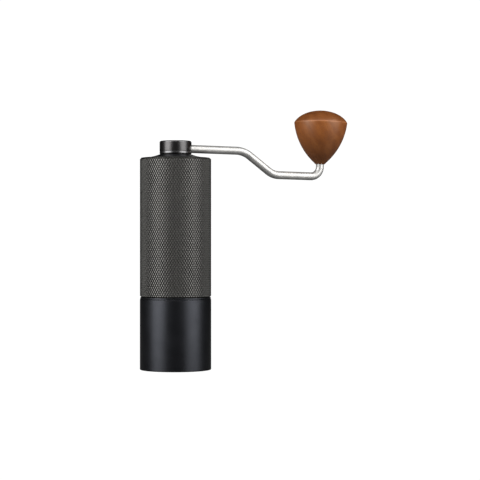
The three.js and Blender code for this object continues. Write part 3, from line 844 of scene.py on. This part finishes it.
def spider(low, high, lip_above, arm_low, arm_high, reach):
    """A bearing's ring, lipped at one end, on three spokes."""
    profile = [(POCKET_R, low, 0.2), (HUB_RING_R, low, 0.4), (HUB_RING_R, high, 0.4), (LIP_R, high, 0.2),
               (LIP_R, high - LIP_THICK, 0.1), (POCKET_R, high - LIP_THICK)]
    if not lip_above:
        profile = [(r, low + high - z, size[0] if size else 0) for r, z, *size in profile]
    arms = [spoke(HUB_RING_R - 0.8, reach, arm_low, arm_high, math.radians(60 + 120 * k)) for k in range(3)]
    return islands(lathe_mesh(rounded(profile), MEDIUM), *arms)


def make_carrier():
    low, high = heights("burr_carrier")
    flange_r = radius("burr_carrier")
    flange_top = heights("barrel")[0] - 0.2
    flange_low = flange_top - 1.2
    root = flange_r - 2.35
    wall = flange_r - 1.75
    bore = radius("ring_burr") + 0.2
    lip = radius("ring_burr") - 0.6
    seat_z = heights("ring_burr")[1] + 0.2
    shell = [
        (bore, low, 0.3),
        (root, low, 0.4),
        *stepped((root, low + 0.5), (root, flange_low - 0.7), THREAD_PITCH / 12),
        (root, flange_low),
        (flange_r, flange_low, 0.2),
        (flange_r, flange_top, 0.2),
        (wall, flange_top),
        (wall, high, 0.2),
        (wall - 0.5, high, 0.2),
        (lip, high - 2.5),
        (lip, seat_z),
        (bore, seat_z),
    ]

    def thread(r, turn, z):
        if abs(r - root) > 0.1:
            return 0
        phase = (z - low) / THREAD_PITCH - turn
        crest = 1 - abs(4 * (phase - math.floor(phase)) - 2)
        fade = ramp(z, low + 0.6, low + 1.6) * (1 - ramp(z, flange_low - 2.4, flange_low - 1.4))
        return THREAD_HEIGHT * min(1.0, 1.5 * max(crest, 0.0)) * fade

    verts, faces, wear_and_painted_light = lathe_mesh(rounded(shell), FINE)
    lip_top = high - 2
    web = spider(lip_top - 8, lip_top, True, lip_top - 7, lip_top - 0.4, bore - 0.4)
    parts = islands((displaced(verts, thread), faces, wear_and_painted_light), web)
    verts, faces, wear_and_painted_light = parts
    finish_mesh("threaded_burr_carrier", verts, faces, "barrel", "anodised_satin", ("burr_carrier",), wear_and_painted_light)


def make_bracket():
    low, high = heights("upper_bracket")
    reach = radius("upper_bracket")
    rim_low = low + 2.1
    bore = reach - 2.25
    rim = [(bore, rim_low, 0.4), (reach, rim_low, 0.3), (reach, high, 0.4), (bore, high, 0.4)]
    web = spider(low, high, False, low + 0.8, high - 2, bore + 0.6)
    verts, faces, wear_and_painted_light = islands(lathe_mesh(rounded(rim), FINE), web)
    finish_mesh("bearing_bracket", verts, faces, "barrel", "black_plastic", ("upper_bracket",), wear_and_painted_light)


# ---- Burr set ----------------------------------------------------------------------------------------

FINE_TEETH = 24
COARSE_FLUTES = 6
OUTER_FLUTES = 12
FINE_CONE = 0.268  # taper of the fine grinding zone, radius per height
DRIVE_ACROSS = 7  # the shaft's hexagon that drives the burr, across its flats
TOP_ACROSS = 6  # the one that the crank drives


def saw_tooth(turns):
    return turns - math.floor(turns)


def make_inner_burr():
    low, high = heights("inner_burr")
    reach = radius("inner_burr")
    edge, fine = low + 3, low + 9.5
    fine_r = reach - (fine - edge) * FINE_CONE
    top_r = 8.5
    outline = [
        (0, low),
        (reach - 1.05, low, 0.2),
        *stepped((reach, edge), (fine_r, fine), 0.5),
        *stepped((fine_r - 0.5, fine + 0.5), (top_r, high), 0.5),
        (0, high),
    ]

    def teeth(r, turn, z):
        if r < 6:
            return 0
        small = 0.55 * (1 - ramp(z, fine, fine + 3)) * saw_tooth(turn * FINE_TEETH + z * 0.12)
        large = 2.6 * ramp(z, edge + 3, high - 4) * saw_tooth(turn * COARSE_FLUTES + (z - low) * 0.03)
        return -(small + large) * ramp(z, low + 0.3, low + 1.6)

    verts, faces, _ = lathe_mesh(rounded(outline), FINE_TEETH * 12)
    verts = displaced(verts, teeth)
    cone = finish_mesh("toothed_inner_burr", verts, faces, "burr", "burr_steel", ("inner_burr",))
    carve(cone, "DIFFERENCE", prism(DRIVE_ACROSS + 0.5, low - 1, high + 1)[:2])


def make_ring_burr():
    low, high = heights("ring_burr")
    reach = radius("ring_burr")
    mouth, top = 19.9, 16.5
    fine, middle = low + 6.5, low + 13.25
    fine_r = mouth - (fine - low) * FINE_CONE
    outline = [
        (reach, low, 0.3),
        (reach, high, 0.3),
        *stepped((top, high), (fine_r, fine), 0.5),
        *stepped((fine_r + 0.1, fine - 0.4), (mouth, low), 0.5),
    ]

    def teeth(r, turn, z):
        if r > reach - 1:
            return 0
        small = 0.5 * (1 - ramp(z, fine, middle)) * saw_tooth(turn * FINE_TEETH + z * 0.12)
        large = 1.8 * ramp(z, fine - 2, middle) * saw_tooth(turn * OUTER_FLUTES - z * 0.02)
        return small + large

    verts, faces, _ = lathe_mesh(rounded(outline), FINE_TEETH * 12)
    verts = displaced(verts, teeth)
    finish_mesh("toothed_ring_burr", verts, faces, "barrel", "burr_steel", ("ring_burr",))


# ---- Adjustment dial and shaft -----------------------------------------------------------------------

DIAL_LOBES = 12
DIAL_LOBE = 0.6


def make_dial():
    """A scalloped dial with a dished face, a dimple on each lobe and two blind holes for its detents."""
    low, high = heights("adjustment_dial")
    crest = radius("adjustment_dial")
    bore = radius("dial_thread_insert") + 0.2
    dish = low + 0.35
    scallop_from = 11.4
    outline = [
        (bore, dish, 0.1),
        (6.4, dish, 0.1),
        (6.9, low, 0.1),
        (8.6, low, 0.1),
        (9.1, dish, 0.1),
        (11, dish, 0.1),
        (scallop_from, low, 0.1),
        (crest, low, 0.7),
        (crest, high, 0.5),
        (bore, high, 0.2),
    ]

    def scallop(r, turn, _):
        return DIAL_LOBE * (math.cos(TURN * DIAL_LOBES * turn) - 1) * ramp(r, scallop_from, crest - 0.5)

    verts, faces, wear_and_painted_light = lathe_mesh(rounded(outline), DIAL_LOBES * 16)
    verts = displaced(verts, scallop)
    dial = finish_mesh("scalloped_dial", verts, faces, "dial", "anodised_satin", ("adjustment_dial",), wear_and_painted_light)
    hole_r, hole_low = radius("detent_ball_2") + 0.3, low + 2
    hole = [(0, hole_low), (hole_r, hole_low), (hole_r, high + 1), (0, high + 1)]
    cuts = [lathe_mesh(hole, 24, (middle_x(ball), 0)) for ball in ("detent_ball_1", "detent_ball_2")]
    dimple_r, dimple_ring = 0.45, crest - 1.7
    dimple = [(0, low - 1), (dimple_r, low - 1), (dimple_r, low + 0.15), (0, low + 0.4)]
    for k in range(DIAL_LOBES):
        angle = TURN * k / DIAL_LOBES
        cuts.append(lathe_mesh(dimple, 16, (dimple_ring * math.cos(angle), dimple_ring * math.sin(angle))))
    verts, faces, _ = islands(*cuts)
    carve(dial, "DIFFERENCE", (verts, faces))


def make_shaft():
    low, high = heights("drive_shaft")
    thread_r, shank = 3.0, 4.0
    burr_low, burr_high = heights("inner_burr")
    drive_low, drive_high = burr_low + 0.2, burr_high + 2.8
    clip_low = heights("shaft_circlip")[0] - 0.15
    slim = heights("upper_bracket")[1] + 3
    top_drive = heights("crank_hub")[0] - 0.5
    core = [
        (0, low),
        (thread_r, low, 0.5),
        *stepped((thread_r, low + 0.6), (thread_r, drive_low - 0.6), 0.125),
        (thread_r, drive_high - 0.5),
        (shank, drive_high - 0.5, 0.2),
        (shank, clip_low, 0.1),
        (shank - 0.45, clip_low),
        (shank - 0.45, clip_low + 1.2),
        (shank, clip_low + 1.2, 0.1),
        (shank, slim, 0.2),
        (thread_r + 0.5, slim + 0.5),
        (thread_r + 0.5, top_drive, 0.2),
        (thread_r - 0.5, top_drive),
        (thread_r - 0.5, high, 0.3),
        (0, high),
    ]

    def thread(r, turn, z):
        if z > drive_low or r < thread_r - 0.1:
            return 0
        return -0.28 * abs(2 * saw_tooth(z - turn) - 1) * ramp(z, low + 0.4, low + 1.2)

    verts, faces, wear_and_painted_light = lathe_mesh(rounded(core), SMALL)
    verts, faces, wear_and_painted_light = islands(
        (displaced(verts, thread), faces, wear_and_painted_light),
        prism(DRIVE_ACROSS, drive_low, drive_high),
        prism(TOP_ACROSS, top_drive - 0.2, high - 0.3),
    )
    finish_mesh("threaded_drive_shaft", verts, faces, "shaft", "polished_steel", ("drive_shaft",), wear_and_painted_light)


def make_burr_spring():
    """A coil spring with closed end turns, built at one fixed length; the real one shortens as the dial
    lifts the burr.
    """
    low, high = heights("burr_spring")
    wire = 0.5
    reach = radius("burr_spring") - wire
    turns, steps_a_turn = 4.5, 40
    closed_pitch = 2.04 * wire  # the end turns all but touch
    open_pitch = (high - low - 2 * wire - 2 * closed_pitch) / (turns - 2)
    path = []
    for k in range(round(turns * steps_a_turn) + 1):
        turn = k / steps_a_turn
        opened = min(max(turn - 1, 0), turns - 2)
        z = low + wire + open_pitch * opened + closed_pitch * (turn - opened)
        path.append((reach * math.cos(TURN * turn), reach * math.sin(TURN * turn), z))
    verts, faces = sweep_mesh(path, wire, 14)
    coil = finish_mesh("closed_end_spring", verts, faces, None, "spring_steel", ("burr_spring",))
    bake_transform(coil)


make_barrel()
make_cup()
make_lid()
make_hub()
make_arm()
make_knob()
make_carrier()
make_bracket()
make_inner_burr()
make_ring_burr()
make_dial()
make_shaft()
make_burr_spring()

slots = {s["node"]: s["material_slot"] for s in frame["record"]["subparts"]}
for node, piece in frame["nodes"].items():
    for place in piece.material_slots:
        place.material = MATERIALS[slots[node]]
    piece.data.shade_smooth()
    piece.data.set_sharp_from_angle(angle=math.radians(35))
    edges = piece.modifiers.new("edges", "BEVEL")
    edges.width = 0.1 * MM
    edges.segments = 2
    edges.limit_method = "ANGLE"
    edges.angle_limit = math.radians(40)


# ---- Stage, lights and camera ------------------------------------------------------------------------

VIEW_AZIMUTH = math.radians(-20)
VIEW_DISTANCE = 1.2
VIEW_SIDE_STEP = 0.047  # the barrel stands this far left of the view's centre
VIEW_HEIGHT = 0.0945
LENS = 123.39
LIGHTS_AIM = 0.1  # the height that the lights point at
FLOOR_REACH = 12.0


def facing(azimuth):
    """The level direction that a camera at this azimuth looks along."""
    return Vector((-math.sin(azimuth), math.cos(azimuth), 0))


def make_camera():
    ahead = facing(VIEW_AZIMUTH)
    right = Vector((ahead.y, -ahead.x, 0))
    data = bpy.data.cameras.new("camera")
    data.lens = LENS
    data.sensor_width = 36
    data.clip_start = 0.01
    camera = bpy.data.objects.new("camera", data)
    camera.location = right * VIEW_SIDE_STEP - ahead * VIEW_DISTANCE + Vector((0, 0, VIEW_HEIGHT))
    camera.rotation_euler = ahead.to_track_quat("-Z", "Y").to_euler()
    bpy.context.scene.collection.objects.link(camera)
    bpy.context.scene.camera = camera


def softbox(name, bearing, distance, height, size, power):
    """A soft light at a bearing in degrees round from the camera's side of the object, to its right."""
    towards = facing(VIEW_AZIMUTH + math.radians(bearing))
    data = bpy.data.lights.new(name, "AREA")
    data.shape = "RECTANGLE"
    data.size, data.size_y = size
    data.energy = power
    light = bpy.data.objects.new(name, data)
    light.location = -towards * distance + Vector((0, 0, height))
    aim = Vector((0, 0, LIGHTS_AIM)) - light.location
    light.rotation_euler = aim.to_track_quat("-Z", "Y").to_euler()
    bpy.context.scene.collection.objects.link(light)


def make_stage():
    floor_mesh = bpy.data.meshes.new("floor")
    corners = [(FLOOR_REACH * x, FLOOR_REACH * y, 0) for x, y in ((-1, -1), (1, -1), (1, 1), (-1, 1))]
    floor_mesh.from_pydata(corners, [], [(0, 1, 2, 3)])
    floor = bpy.data.objects.new("floor", floor_mesh)
    bpy.context.scene.collection.objects.link(floor)
    n = Nodes("floor_white")
    n.set(Base_Color=(0.07, 0.07, 0.07, 1), Roughness=0.1, Emission_Color=(1, 1, 1, 1))
    path = n.add("ShaderNodeLightPath")
    n.set(Emission_Strength=n.math("MULTIPLY", path.outputs["Is Glossy Ray"], 0.08))
    floor.data.materials.append(n.material)
    floor.visible_camera = False
    floor.visible_shadow = False

    world = bpy.data.worlds.new("studio")
    bpy.context.scene.world = world
    world.use_nodes = True
    tree = world.node_tree
    surround = tree.nodes["Background"]
    surround.inputs["Color"].default_value = (0.9, 0.95, 1.0, 1)
    surround.inputs["Strength"].default_value = 0.015
    backdrop = tree.nodes.new("ShaderNodeBackground")
    backdrop.inputs["Color"].default_value = (1, 1, 1, 1)
    backdrop.inputs["Strength"].default_value = 1.05
    rays = tree.nodes.new("ShaderNodeLightPath")
    mix = tree.nodes.new("ShaderNodeMixShader")
    tree.links.new(rays.outputs["Is Camera Ray"], mix.inputs[0])
    tree.links.new(surround.outputs[0], mix.inputs[1])
    tree.links.new(backdrop.outputs[0], mix.inputs[2])
    tree.links.new(mix.outputs[0], tree.nodes["World Output"].inputs["Surface"])
    bpy.context.scene.view_settings.view_transform = "Standard"


make_camera()
softbox("left_softbox", -56, 0.9, 0.5, (0.8, 1.2), 21.5)
softbox("right_softbox", 61, 0.9, 0.5, (0.84, 1.2), 19.5)
softbox("top_softbox", 0, 0.5, 1.0, (0.5, 0.3), 2.4)
make_stage()
